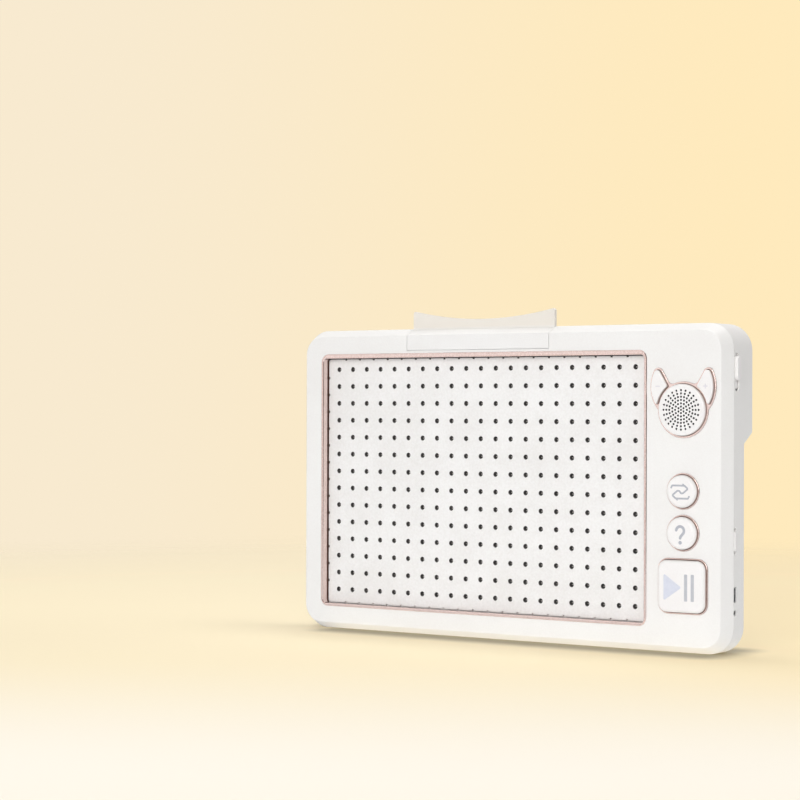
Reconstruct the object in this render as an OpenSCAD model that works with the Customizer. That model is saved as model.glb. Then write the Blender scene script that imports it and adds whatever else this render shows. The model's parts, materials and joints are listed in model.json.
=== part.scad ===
// Talking picture-card reader for early reading: a flat upright console with a perforated
// reading panel, a page clip, an eared speaker, three marked keys and a rechargeable cell.
// Sizes are in millimetres. X runs to the right, Y runs from the front to the back, Z is up.

/* [Reading panel] */
// Distance between neighbouring contact holes
pitch = 10; // [9:0.5:12]
// Contact holes along the width
cols = 21; // [15:1:25]
// Contact holes along the height
rows = 14; // [13:1:18]
// Outermost hole centres to the panel's left and right edges
panel_edge_x = 7.45; // [6:0.05:12]
// Top row of hole centres to the panel's top edge
panel_edge_top = 6; // [5:0.05:12]
// Bottom row of hole centres to the panel's bottom edge
panel_edge_bottom = 7.75; // [6:0.05:12]
// Depth of the panel's face behind the front face
recess = 4.8; // [4.4:0.1:6]
// Thickness of the perforated plate
panel_t = 1.6; // [1.2:0.1:2.4]
// Thickness of the flange that carries the plate
flange_t = 1.2; // [0.8:0.1:2]
// Diameter of a contact hole
hole_d = 2.9; // [2:0.1:4]
// Diameter of a contact stud
stud_d = 0.9; // [0.6:0.1:1.6]
// Depth of a stud's tip below the panel's face
stud_drop = 1.2; // [0.3:0.1:1.4]
// Width of an edge notch between two rows of holes
notch_w = 1.4; // [0.8:0.1:2]
// Depth of an edge notch
notch_d = 0.7; // [0.4:0.1:1.2]

/* [Trim frame] */
// Width of the frame's visible land
frame_land = 1.65; // [1.2:0.05:3]
// Extra width of the frame's upper bar
frame_brow = 0.95; // [0:0.05:1.2]
// Gap in depth between the frame's back and the panel's face
frame_lift = 1.3; // [1.3:0.1:2]
// Height of the frame above the front face
frame_proud = 0.3; // [0.1:0.1:0.8]
// Outer corner radius of the frame
frame_r = 5; // [4:0.5:9]
// Gap in plan between the panel's plate and the frame
frame_gap = 0.45; // [0.3:0.05:1]

/* [Housing] */
// Flat front left of the frame
bezel_left = 11.2; // [9:0.1:20]
// Flat front above the frame, which holds the page clip
bezel_top = 10.3; // [9.5:0.05:16]
// Flat front below the frame
bezel_bottom = 9.7; // [8:0.05:16]
// Flat front right of the frame, which holds the controls
strip_w = 44.2; // [43:0.1:60]
// In-plane width of the front bevel
bevel_in = 3.75; // [3:0.05:5]
// Depth of the front bevel
bevel_d = 7.3; // [6.6:0.1:9]
// Corner radius of the outline
corner_r = 14.5; // [12:0.5:18]
// Wall thickness
wall = 2.2; // [1.8:0.1:2.8]
// Thickness of the lower body
body_t = 21.4; // [20:0.1:28]
// Thickness of the upper body
bump_t = 31.1; // [30:0.1:40]
// Height of the thick upper body
bump_h = 57.4; // [50:0.1:75]
// Height of the slope below the thick upper body
bump_run = 6; // [3:0.5:10]
// Radius of the front edges
edge_r = 1; // [0.5:0.1:2]
// Radius of the back edges
rear_r = 2; // [1:0.1:2.1]
// Visible groove between the two shells
groove = 0.3; // [0.2:0.05:0.5]

/* [Speaker] */
// Speaker centre above the panel's centre
speaker_up = 42.6; // [30:0.1:44]
// Radius of the perforated disc
grille_r = 13.8; // [12:0.1:15]
// Height of the disc above the front face
grille_proud = 2.8; // [1.6:0.1:3.2]
// Rings of sound holes round the middle one
sound_rings = 6; // [4:1:6]
// Most sound holes on a ring
sound_spokes = 24; // [18:6:30]
// Distance between two rings of sound holes
sound_step = 1.75; // [1.5:0.05:2]
// Diameter of a sound hole
sound_d = 1.2; // [0.8:0.1:1.3]
// Width of the rose-gold rim
rim_w = 1.1; // [0.8:0.1:1.6]
// Height of the ear keys above the front face
ear_proud = 2.4; // [1.2:0.1:2.8]
// Radius of an ear's outer edge
ear_r = 17.6; // [17:0.1:18]
// Radius of an ear's tip
ear_tip_r = 1.7; // [1:0.1:2.2]

/* [Keys] */
// Radius of a round key
key_r = 8.7; // [7.5:0.1:10]
// Height of the keys above the front face
key_proud = 3.5; // [2.6:0.1:4]
// Travel of a key
key_travel = 0.8; // [0.4:0.1:1]
// Gap between a key and its surround
key_gap = 0.25; // [0.2:0.05:0.4]
// Width of a key surround
ring_w = 0.8; // [0.6:0.1:1.4]
// Height of the surrounds above the front face
ring_proud = 0.5; // [0.2:0.1:1]
// Repeat key above the panel's centre
repeat_up = -0.8; // [-6:0.1:4]
// Question key above the panel's centre
question_up = -23.1; // [-28:0.1:-22]
// Play key above the panel's centre
play_up = -51.4; // [-56:0.1:-50]
// Width and height of the play key
play_w = 27.7; // [24:0.1:30]
// Corner radius of the play key
play_r = 5; // [3:0.1:8]

/* [Page clip] */
// Width of the clip
clip_w = 95.4; // [70:0.1:110]
// Thickness of the clip's plate
clip_t = 2; // [1.6:0.1:2.2]
// Height of the lever's ends above the body
lever_rise = 10.3; // [8:0.1:16]
// Depth of the hollow in the lever's top edge
lever_dip = 5.2; // [3:0.1:6]
// Depth of the lever behind the front face
lever_y = 6.6; // [6:0.1:6.6]
// Diameter of the hinge pin
pin_d = 2.5; // [2:0.1:2.6]
// Gap between the clip and its pocket
clip_gap = 0.3; // [0.2:0.05:1]

/* [Side wall] */
// Middle of the power knob below the top
power_drop = 24.1; // [23:0.1:30]
// Length of the power knob
power_len = 13; // [10:0.5:14]
// Travel of the power knob
power_travel = 5; // [3:0.5:5]
// Height of the power knob above the side wall
power_proud = 1.6; // [0.8:0.1:2.4]
// Middle of the mode knob above the base
mode_z = 60.4; // [50:0.1:70]
// Length of the mode knob
mode_len = 10.7; // [8:0.1:12]
// Travel of the mode knob to each side
mode_travel = 1.6; // [1:0.1:2]
// Height of the mode knob above the side wall
mode_proud = 0.6; // [0.3:0.1:1.4]
// Middle of the charging socket above the base
usb_z = 32.1; // [29:0.1:36]
// Middle of the charge lamp above the base
led_z = 22.4; // [20:0.1:25]

/* [Hidden] */
$fn = 48;

// Overlap of two shapes that become one piece, and the overrun of a cut
join = 0.1;
over = 1;
// Clearance of a part that is fitted and never moves
fit = 0.05;
// Overrun of a rounding circle, so that it crosses the edges that it rounds
round_over = 0.005;

// Outline of the panel, the frame and the body
panel_w = (cols - 1) * pitch + 2 * panel_edge_x;
panel_h = (rows - 1) * pitch + panel_edge_top + panel_edge_bottom;
grid_up = (panel_edge_bottom - panel_edge_top) / 2;
frame_in_w = panel_w + 2 * frame_gap;
frame_in_h = panel_h + 2 * frame_gap;
frame_w = frame_in_w + 2 * frame_land;
frame_h = frame_in_h + 2 * frame_land + frame_brow;
frame_in_r = 2;
frame_d = recess - frame_lift;
body_w =2 * bevel_in + bezel_left + frame_w + strip_w;
body_h = 2 * bevel_in + bezel_bottom + frame_h + bezel_top;
side_x = body_w / 2;
panel_x = bevel_in + bezel_left + frame_w / 2 - side_x;
panel_z = bevel_in + bezel_bottom + frame_land + frame_in_h / 2;
frame_z = bevel_in + bezel_bottom + frame_h / 2;
strip_x = side_x - bevel_in - strip_w / 2;
bump_z = body_h - bump_h;
bump_slope = bump_run / (bump_t - body_t);

// Skirt behind the front wall, which the panel's flange rests on
skirt_undercut = 0.7;
skirt_over = 0.95;
skirt_in_w = frame_in_w + 2 * skirt_undercut;
skirt_in_h = frame_in_h + 2 * skirt_undercut;
flange_ledge = 1;
flange_y = recess + panel_t;
sensor_y = flange_y + flange_t;
sensor_t = 1.2;
sensor_back = sensor_y + sensor_t;

// Screw tabs of the panel and the sensor board, from the panel's centre
tab_r = 2.8;
tab_out = 1.2;
tab_x = skirt_in_w / 2 + flange_ledge + tab_out;
tab_z = skirt_in_h / 2 + flange_ledge + tab_out;
tab_side = 40;
tab_end = panel_w / 2 - 22;
panel_tabs = [[-tab_end, tab_z], [tab_end, tab_z], [-tab_end, -tab_z], [tab_end, -tab_z],
  [-tab_x, tab_side], [-tab_x, -tab_side]];

// Screws
screw_r = 1.15;
screw_head_r = 2.3;
screw_head_t = 1.6;
small_screw_r = 0.9;
small_head_r = 1.75;
small_head_t = 1.2;
pilot_depth = 4;
// Cross recess, as shares of the head's radius and thickness
cross_len = 1.15;
cross_w = 0.3;
cross_d = 0.55;

// Bosses that the two shells are screwed together on
boss_in = 8.1;
boss_r = 3;
boss_split = bevel_d + 4.7;
boss_land = 2.4;
boss_side_z = 30;
boss_mid = clip_w / 2 + 14.3;
boss_right_x = side_x - 14.1;
shell_bosses = [[boss_in - side_x, boss_side_z], [boss_in - side_x, body_h - boss_side_z],
  [panel_x - boss_mid, body_h - boss_in], [panel_x + boss_mid, body_h - boss_in],
  [boss_right_x, body_h - boss_in], [panel_x - boss_mid, boss_in], [panel_x + boss_mid, boss_in],
  [boss_right_x, boss_in]];

// Lip of the rear shell inside the front shell
lip_h = 1.9;
lip_t = 1.2;
lip_base = 1.5;
lip_gap = 0.2;
lip_in = bevel_in * lip_h / bevel_d + wall + lip_gap;
lip_open_in = 7.2;

// Main board behind the control strip
board_y = bevel_d + 3.9;
board_t = 1.6;
board_back = board_y + board_t;
board_x0 = panel_x + frame_w / 2 + 2;
board_x1 = side_x - wall - 1.6;
board_z0 = boss_in + boss_r + 0.9;
board_z1 = body_h - boss_in - boss_r - 0.3;
board_boss_r = 2.4;
board_in = 3.5;
board_holes = [[board_x0 + board_in, board_z0 + 4.5], [strip_x + 13, board_z0 + board_in],
  [board_x0 + board_in, panel_z + 12.3], [board_x1 - 5.7, panel_z + 12.3],
  [board_x0 + board_in, board_z1 - 4.2], [strip_x + 11, board_z1 - 4.2]];

// Speaker and ear keys, from the speaker's centre
speaker_z = panel_z + speaker_up;
disc_gap = 0.2;
rim_r0 = grille_r + disc_gap;
rim_r1 = rim_r0 + rim_w;
rim_proud = 0.5;
rim_depth = wall;
ear_c = [0.75, 12.35];
ear_foot = [9.12, 12.94];
ear_dir = [5.08, 8.62] / norm([5.08, 8.62]);
ear_out = [-ear_dir.y, ear_dir.x];
ear_inner_r = rim_r1 + key_gap;
ear_low_r = 0.6;
ear_heel_r = 0.8;
rim_web_r = 3;
ear_switch = [14.6, 10.2];
grille_t = 1.4;
grille_flange_r = grille_r + 0.5;
grille_flange_y = wall + 0.8;
gasket_t = 0.6;
gasket_w = 2;
basket_y = grille_flange_y + gasket_t;
basket_r = 13.7;
basket_t = 0.8;
basket_back_y = basket_y + 5.8;
basket_back_r = 8.5;
magnet_r = 6.8;
magnet_t = 3.2;
speaker_cut_r = 12;

// Keys and their switches
flange_gap = 0.2;
key_flange_y = wall + flange_gap;
key_flange_t = 1.2;
key_flange_w = 1.3;
ear_flange_w = 0.6;
key_edge_r = 2;
key_edge_steps = 8;
stem_r = 2.2;
plunger_r = 1.7;
plunger_gap = 0.06;
plunger_len = 2.9;
switch_w = 5.2;
switch_y = board_y - 3.5;
stem_y = switch_y - 1.7;
switch_bore = plunger_len - (switch_y - stem_y) + key_travel + 0.3;
key_spots = [[strip_x, panel_z + repeat_up], [strip_x, panel_z + question_up],
  [strip_x, panel_z + play_up], [strip_x - ear_switch.x, speaker_z + ear_switch.y],
  [strip_x + ear_switch.x, speaker_z + ear_switch.y]];
ring_r = key_r + key_gap + ring_w;
play_ring_in = play_w + 2 * key_gap;
play_ring_out = play_ring_in + 2 * ring_w;

// Ribbon between the two boards
ribbon_w = 16;
ribbon_t = 0.3;
ribbon_y = sensor_back + 0.6;
ribbon_z = panel_z + 27;
plug_t = 1.8;
sensor_plug_x1 = board_x0 - 12;
sensor_plug_w = 5;
board_plug_x0 = board_x0 + 2;
board_plug_w = 4;

// Side wall pieces
side_in = side_x - wall;
usb_w = 7.5;
usb_h = 2.6;
usb_wall = 0.3;
usb_len = 5.6;
usb_out = 0.5;
usb_y = board_y - usb_h / 2;
usb_gap = 0.4;
led_r = 1.5;
led_y = board_y - led_r - 0.02;
led_len = 7;
power_z = body_h - power_drop;
power_y = bevel_d + 4.2;
power_w = 5;
power_slot_w = 5.6;
power_flange = power_len + 9;
power_flange_w = power_w + 2.2;
power_slot_z0 = power_z - power_len / 2 - power_travel - 0.8;
power_slot_z1 = power_z + power_len / 2 + 1.6;
mode_y = bevel_d + 2.4;
mode_w = 2.4;
mode_slot_w = 3;
mode_flange = mode_len + 6;
mode_flange_w = mode_w + 1.6;
mode_slot_len = mode_len + 2 * mode_travel + 0.6;
knob_flange_t = 1;
knob_pocket_gap = 0.3;
slot_skin = 1;
knob_flange_x = side_x - slot_skin - flange_gap - knob_flange_t;
knob_stem_len = 3;
stem_w = 1.6;
stem_len = 3;
slide_y = bevel_d + 2.3;
slide_t = 3.4;
slide_depth = 5.2;
slide_x1 = knob_flange_x - flange_gap;
slide_x0 = slide_x1 - slide_depth;
slide_gap = 0.15;
power_body_len = 12.4;
mode_body_len = 10;

// Cell in the thick upper body
battery_w = 60;
battery_h = 38;
battery_t = 7;
tape_t = 0.5;
battery_x = panel_x - 48;
battery_gap = 1.2;
battery_z = body_h - boss_in - boss_r - battery_gap - battery_h / 2;
battery_y1 = bump_t - wall - tape_t;
socket_w = 7;
socket_h = 8;
socket_t = 4;
socket_x0 = board_x0 + 3;
socket_z = board_z1 - 15;
wire_r = 0.55;
wire_gap = 1.8;

// Page clip and its pocket
clip_land = 1.6;
jaw_z = frame_z + frame_h / 2 + clip_land;
jaw_gap = 0.2;
seat_gap = 0.3;
seat_h = 2.6;
pocket_wall = 1.8;
pocket_y = bevel_d + 4.1;
pocket_w = clip_w + 2 * clip_gap;
pocket_floor = panel_z + skirt_in_h / 2 + flange_ledge + 2 * fit;
pocket_top = body_h - wall - 0.7;
bevel_run = norm([bevel_d, bevel_in]);
axis_y = bevel_d + 0.9;
axis_z = body_h - 5;
pin_r = pin_d / 2;
pin_gap = 0.06;
barrel_r = 2.6;
barrel_len = 12;
barrel_in = 3;
lever_top = body_h + lever_rise;
lever_arc_r = (pow(clip_w / 2, 2) + pow(lever_dip, 2)) / (2 * lever_dip);
lever_corner_r = 1.2;
spring_wire_r = 0.35;
spring_r = 2;
spring_len = 8;
spring_curls = 6;
curl_steps = 8;

// Feet on the back
foot_r = 5;
foot_t = 1.5;
foot_sink = 0.5;
foot_in_x = 29;
foot_in_z = 16;
foot_spots = [for (sx = [-1, 1], z = [foot_in_z, body_h - foot_in_z]) [sx * (side_x - foot_in_x), z]];

// The origin lies under the middle of the whole box
y_front = -max(key_proud, grille_proud, ear_proud);
y_back = bump_t + foot_t - foot_sink;
origin = [power_proud / 2, (y_front + y_back) / 2, 0];

// Colours
white = "#F4F1EE";
pale = "#E9E6E2";
rose = "#D9B3A4";
key_white = "#F7F5F4";
black = "#202124";
board_green = "#1F5B3A";
steel = "#B9BCC0";

// Depth of the outer back face at height z
function back_at(z) = z > bump_z ? bump_t : body_t;

function unit(v) = v / norm(v);

// Points of a round at corner v between the directions of a and b
function fillet(a, v, b, r, n = 4) =
  let (
    u1 = unit(a - v),
    u2 = unit(b - v),
    half = acos(u1 * u2) / 2,
    o = v + unit(u1 + u2) * r / sin(half),
    p1 = v + u1 * r / tan(half) - o,
    p2 = v + u2 * r / tan(half) - o,
    a1 = atan2(p1.y, p1.x),
    turn = (atan2(p2.y, p2.x) - a1 + 540) % 360 - 180
  )
  [for (i = [0:n]) o + r * [cos(a1 + turn * i / n), sin(a1 + turn * i / n)]];

// Square to tangent t, as near as can be to the last side vector n
function carry(n, t) = unit(n - (n * t) * t);

function tangent(p, i) = unit(p[min(i + 1, len(p) - 1)] - p[max(i - 1, 0)]);

// Side vectors along a path, each carried on from the one before
function sides_along(p, first, i = 0, done = []) =
  i == len(p) ? done
  : sides_along(p, first, i + 1, concat(done, [carry(i == 0 ? first : done[i - 1], tangent(p, i))]));

// Moves the model from the front face's frame to the origin
module place() {
  translate(-origin) children();
}

// Turns a drawing in X and Z into a plate between two depths
module plate(y0, y1) {
  translate([0, y1, 0]) rotate([90, 0, 0]) linear_extrude(y1 - y0) children();
}

// Turns a drawing in Y and Z into a bar between two places along X
module bar(x0, x1) {
  translate([x0, 0, 0]) rotate([90, 0, 90]) linear_extrude(x1 - x0) children();
}

// Round post along the depth
module post(at, y0, y1, r) {
  translate([at.x, y0, at.y]) rotate([-90, 0, 0]) cylinder(h = y1 - y0, r = r);
}

// Turned piece along the depth, from points of radius and depth
module turned(at, points) {
  translate([at.x, 0, at.y]) rotate([-90, 0, 0]) rotate_extrude() polygon(points);
}

module box_between(low, high) {
  translate(low) cube(high - low);
}

// Rectangle with round corners, in its own middle
module rrect(w, h, r) {
  square([w - 2 * r, h], center = true);
  square([w, h - 2 * r], center = true);
  for (sx = [-1, 1], sz = [-1, 1])
    translate([sx * (w / 2 - r), sz * (h / 2 - r)]) circle(r = r);
}

// Round-cornered slab whose edge follows a profile of inset and depth, front to back
module slab(w, h, r, profile) {
  n = len(profile);
  back = [for (i = [n - 1:-1:0]) profile[i]];
  for (sx = [-1, 1], sz = [-1, 1])
    turned([sx * (w / 2 - r), sz * (h / 2 - r)],
      concat([[0, profile[0].y]], [for (p = profile) [r - p.x, p.y]], [[0, profile[n - 1].y]]));
  rotate([0, -90, 0]) linear_extrude(w - 2 * r, center = true)
    polygon(concat([for (p = profile) [h / 2 - p.x, p.y]], [for (p = back) [p.x - h / 2, p.y]]));
  linear_extrude(h - 2 * r, center = true)
    polygon(concat([for (p = profile) [w / 2 - p.x, p.y]], [for (p = back) [p.x - w / 2, p.y]]));
}

// Round wire along a path
module wire(path, r, sides) {
  last = len(path) - 1;
  normals = sides_along(path, carry([0.6, 0.5, 0.7], tangent(path, 0)));
  points = [for (i = [0:last], k = [0:sides - 1])
    path[i] + r * (cos(360 * k / sides) * normals[i]
      + sin(360 * k / sides) * cross(tangent(path, i), normals[i]))];
  walls = [for (i = [0:last - 1], k = [0:sides - 1])
    let (a = i * sides + k, b = i * sides + (k + 1) % sides)
    each [[a, a + sides, b], [b, a + sides, b + sides]]];
  ends = concat([for (k = [1:sides - 2]) [0, k, k + 1]],
    [for (k = [1:sides - 2]) [last * sides, last * sides + k + 1, last * sides + k]]);
  polyhedron(points, concat(walls, ends));
}

module at_panel() {
  translate([panel_x, panel_z]) children();
}

module at_frame() {
  translate([panel_x, frame_z]) children();
}

module at_holes() {
  for (i = [0:cols - 1], j = [0:rows - 1])
    translate([(i - (cols - 1) / 2) * pitch, (j - (rows - 1) / 2) * pitch + grid_up]) children();
}

// Half plane below the line through two points, on the right of the way from a to b
module right_of(a, b) {
  far = 60;
  along = unit(b - a);
  right = [along.y, -along.x];
  polygon([a - far * along, b + far * along, b + far * (along + right), a - far * (along - right)]);
}

// Middle of a round of radius r between the ear's arc and the rim, at the ear's lower end
function ear_low(r) =
  let (
    r1 = ear_inner_r + r,
    d = norm(ear_c),
    along = ear_c / d,
    a = (r1 * r1 - pow(ear_r - r, 2) + d * d) / (2 * d)
  )
  a * along + sqrt(r1 * r1 - a * a) * [along.y, -along.x];

// Point at a distance from the ear's flank, on a circle of radius r about the speaker's centre
function by_flank(distance, r) =
  let (k = ear_out * ear_foot + distance)
  k * ear_out + sqrt(r * r - k * k) * ear_dir;

// Right ear's outside, grown by g: an arc, a straight flank and a round tip
module ear_outside(g) {
  foot = ear_foot + g * ear_out;
  start = ear_foot - ear_tip_r * ear_out - ear_c;
  b = start * ear_dir;
  reach = sqrt(b * b - start * start + pow(ear_r - ear_tip_r, 2)) - b;
  tip = ear_c + start + reach * ear_dir;
  tip_r = ear_tip_r + g;
  intersection() {
    translate(ear_c) circle(r = ear_r + g, $fn = 96);
    right_of(foot, foot + ear_dir);
    right_of(tip + tip_r * ear_out, tip + tip_r * unit(tip - ear_c));
  }
  translate(tip) circle(r = tip_r + round_over);
}

// Right ear, grown by g: its outside down to the rim, with both lower ends rounded
module ear(g) {
  low = ear_low(ear_low_r);
  low_r = ear_low_r + g;
  heel = by_flank(-ear_heel_r, ear_inner_r + ear_heel_r);
  heel_r = ear_heel_r + g;
  difference() {
    intersection() {
      ear_outside(g);
      right_of(low + low_r * unit(low - ear_c), low - low_r * unit(low));
      right_of(heel - heel_r * unit(heel), heel + heel_r * ear_out);
    }
    circle(r = ear_inner_r - g, $fn = 96);
  }
  translate(low) circle(r = low_r + round_over);
  translate(heel) circle(r = heel_r + round_over);
}

// Web in the corner between the rim and the right ear's flank, grown by g, with a hollow round edge
module rim_web(g) {
  middle = by_flank(key_gap + rim_w + rim_web_r, rim_r1 + rim_web_r);
  reach = rim_web_r + rim_w / 2;
  in_ear = middle - reach * ear_out;
  in_rim = middle - reach * unit(middle);
  difference() {
    polygon([middle, in_ear, in_ear + in_rim - middle, in_rim]);
    translate(middle) circle(r = rim_web_r - g + round_over);
  }
}

// Places a drawing of the right ear at one of the two sides
module at_ear(side) {
  translate([strip_x, speaker_z]) mirror([side < 0 ? 1 : 0, 0]) children();
}

// Rim with its two ears, unpierced and grown by g, between two depths
module rim_blank(g, y0, y1) {
  post([strip_x, speaker_z], y0, y1, rim_r1 + g);
  for (side = [-1, 1]) {
    plate(y0, y1) at_ear(side) ear_outside(key_gap + rim_w + g);
    plate(y0, y1) at_ear(side) rim_web(g);
  }
}

module pocket_profile() {
  floor_z = jaw_z - jaw_gap;
  seat_y = clip_t + seat_gap;
  polygon([[-over - frame_proud, floor_z], [seat_y, floor_z], [seat_y, floor_z + seat_h],
    [pocket_y, floor_z + seat_h], [pocket_y, body_h + over], [-over - frame_proud, body_h + over]]);
}

module front_shell() {
  outer = concat(fillet([bevel_in + 5, 0], [bevel_in, 0], [0, bevel_d], edge_r), [[0, bevel_d]]);
  inner = [[bevel_in * (1 - wall / bevel_d) + wall, wall], [wall, bevel_d], [wall, bevel_d + over]];
  color(white) place() difference() {
    union() {
      translate([0, 0, body_h / 2]) difference() {
        slab(body_w, body_h, corner_r, outer);
        slab(body_w, body_h, corner_r, inner);
      }
      plate(wall - join, flange_y) at_frame() rrect(frame_w + 2 * skirt_over, frame_h + 2 * skirt_over, 3);
      for (p = panel_tabs) post([panel_x, panel_z] + p, wall - join, flange_y, tab_r);
      for (p = shell_bosses) post(p, wall - join, boss_split, boss_r);
      for (p = board_holes) post(p, wall - join, board_y, board_boss_r);
      box_between(
        [panel_x - pocket_w / 2 - pocket_wall, wall - join, pocket_floor],
        [panel_x + pocket_w / 2 + pocket_wall, pocket_y + pocket_wall, pocket_top]);
    }
    plate(-over, frame_d) at_frame() rrect(frame_w + 2 * fit, frame_h + 2 * fit, frame_r);
    plate(frame_d - join, flange_y + over) at_panel() rrect(skirt_in_w, skirt_in_h, frame_in_r);
    rim_blank(fit, -over, wall + over);
    for (up = [repeat_up, question_up]) post([strip_x, panel_z + up], -over, wall + over, ring_r + fit);
    plate(-over, wall + over) translate([strip_x, panel_z + play_up])
      rrect(play_ring_out + 2 * fit, play_ring_out + 2 * fit, play_r + key_gap + ring_w);
    bar(panel_x - pocket_w / 2, panel_x + pocket_w / 2) pocket_profile();
    translate([panel_x, axis_y, axis_z]) rotate([0, 90, 0])
      cylinder(h = pocket_w + 2 * (pocket_wall + over), r = pin_r + fit / 2, center = true);
    for (p = panel_tabs) post([panel_x, panel_z] + p, flange_y - pilot_depth + flange_t, flange_y + over,
      small_screw_r + fit);
    for (p = shell_bosses) post(p, boss_split - 2 * pilot_depth, boss_split + over, screw_r + fit);
    for (p = board_holes) post(p, board_y - 1.5 * pilot_depth, board_y + over, small_screw_r + fit);
  }
}

// Edge profile of the rear shell down to depth t
function rear_edge(t) = concat(
  [[groove, bevel_d], [groove, bevel_d + groove], [0, bevel_d + 2 * groove]],
  fillet([0, bevel_d], [0, t], [5, t], rear_r));

// Side view of the thick upper body above its slope, which is raised by up
module bump_side(y1, up) {
  y0 = body_t - 2 * wall;
  slope_z = bump_z - bump_run + up;
  polygon([[y0, body_h + over], [y1, body_h + over], [y1, slope_z + (y1 - body_t) * bump_slope],
    [y0, slope_z + (y0 - body_t) * bump_slope]]);
}

module inner_outline(inset) {
  translate([0, body_h / 2]) rrect(body_w - 2 * inset, body_h - 2 * inset, corner_r - inset);
}

module rear_lip() {
  difference() {
    union() {
      plate(bevel_d, bevel_d + lip_base) difference() {
        inner_outline(wall - join);
        inner_outline(lip_in + lip_t);
      }
      plate(bevel_d - lip_h, bevel_d + join) difference() {
        inner_outline(lip_in);
        inner_outline(lip_in + lip_t);
      }
    }
    box_between([side_x - lip_open_in, 0, corner_r],
      [side_x, 2 * bevel_d, max(body_h - corner_r, power_z + power_flange / 2 + 0.5)]);
    box_between([panel_x - pocket_w / 2 - pocket_wall - lip_gap, 0, body_h - corner_r],
      [panel_x + pocket_w / 2 + pocket_wall + lip_gap, 2 * bevel_d, body_h - wall]);
  }
}

// Pocket in the side wall that a knob's flange slides in, from the shell's edge back to y1
module knob_pocket(y1, z0, z1) {
  box_between([side_in - over, bevel_d - over, z0 - knob_pocket_gap],
    [side_x - slot_skin, y1 + knob_pocket_gap, z1 + knob_pocket_gap]);
}

module rear_shell() {
  slope_wall = wall * sqrt(1 + bump_slope * bump_slope);
  color(white) place() difference() {
    union() {
      difference() {
        union() {
          translate([0, 0, body_h / 2]) slab(body_w, body_h, corner_r, rear_edge(body_t));
          intersection() {
            translate([0, 0, body_h / 2]) slab(body_w, body_h, corner_r, rear_edge(bump_t));
            bar(-side_x, side_x) bump_side(bump_t + over, 0);
          }
        }
        plate(bevel_d - over, body_t - wall) inner_outline(wall);
        intersection() {
          plate(bevel_d, bump_t - wall) inner_outline(wall);
          bar(-side_x, side_x) bump_side(bump_t, slope_wall);
        }
      }
      rear_lip();
      for (p = shell_bosses) post(p, boss_split, back_at(p.y) - wall + join, boss_r + 0.2);
    }
    for (p = shell_bosses) {
      post(p, boss_split - over, bump_t + over, screw_r + 0.2);
      post(p, boss_split + boss_land, bump_t + over, screw_head_r + 0.3);
    }
    for (p = foot_spots) post(p, back_at(p.y) - foot_sink, bump_t + over, foot_r + fit);
    bar(panel_x - pocket_w / 2, panel_x + pocket_w / 2)
      translate([bevel_d - over, body_h - wall - over]) square([pocket_y - bevel_d + over, wall + 2 * over]);
    knob_pocket(power_y + power_flange_w / 2, power_z - power_flange / 2 - power_travel,
      power_z + power_flange / 2);
    knob_pocket(mode_y + mode_flange_w / 2, mode_z - mode_flange / 2 - mode_travel,
      mode_z + mode_flange / 2 + mode_travel);
    bar(side_in - over, side_x + over) translate([power_y, (power_slot_z0 + power_slot_z1) / 2])
      rrect(power_slot_w, power_slot_z1 - power_slot_z0, power_slot_w / 2 - fit);
    bar(side_in - over, side_x + over) translate([mode_y, mode_z])
      rrect(mode_slot_w, mode_slot_len, mode_slot_w / 2 - fit);
    bar(side_in - over, side_x + over) translate([usb_y, usb_z])
      rrect(usb_h + 2 * usb_gap, usb_w + 2 * usb_gap, 1);
    translate([side_in - over, led_y, led_z]) rotate([0, 90, 0])
      cylinder(h = wall + 2 * over, r = led_r + 0.15);
  }
}

module panel_frame() {
  soft = 0.35;
  y0 = -frame_proud;
  outer = [[soft, y0], [0, y0 + soft], [0, frame_d]];
  inner = [[-soft - over, y0 - over], [0, y0 + soft], [0, frame_d + over]];
  color(rose) place() difference() {
    translate([panel_x, 0, frame_z]) slab(frame_w, frame_h, frame_r, outer);
    translate([panel_x, 0, panel_z]) slab(frame_in_w, frame_in_h, frame_in_r, inner);
  }
}

// Flange of the panel and outline of the sensor board, with their screw tabs
module flange_outline() {
  difference() {
    union() {
      rrect(skirt_in_w + 2 * flange_ledge, skirt_in_h + 2 * flange_ledge, 3);
      for (p = panel_tabs) translate(p) circle(r = tab_r);
    }
    for (p = panel_tabs) translate(p) circle(r = small_screw_r + 0.15);
  }
}

module edge_notches() {
  for (i = [0:cols - 2], s = [-1, 1])
    translate([(i - (cols - 2) / 2) * pitch, s * panel_h / 2]) square([notch_w, 2 * notch_d], center = true);
  for (j = [0:rows - 2], s = [-1, 1])
    translate([s * panel_w / 2, (j - (rows - 2) / 2) * pitch + grid_up])
      square([2 * notch_d, notch_w], center = true);
}

module touch_panel() {
  color(key_white) place() {
    plate(recess, flange_y) at_panel() difference() {
      rrect(panel_w, panel_h, 1.5);
      edge_notches();
      at_holes() circle(d = hole_d);
    }
    plate(flange_y, sensor_y) at_panel() difference() {
      flange_outline();
      at_holes() circle(d = hole_d);
    }
  }
}

module contact_studs() {
  color(pale) place() plate(recess + stud_drop, sensor_y) at_panel() at_holes() circle(d = stud_d);
}

module sensor_board() {
  color(black) place() plate(sensor_y, sensor_back) at_panel() flange_outline();
}

module speaker_rim() {
  color(rose) place() difference() {
    rim_blank(0, -rim_proud, rim_depth);
    post([strip_x, speaker_z], -rim_proud - over, rim_depth + over, rim_r0);
    for (side = [-1, 1]) plate(-rim_proud - over, rim_depth + over) at_ear(side) ear(key_gap);
  }
}

// Sound holes on ring k
function ring_holes(k) = min(6 * k, sound_spokes);

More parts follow.
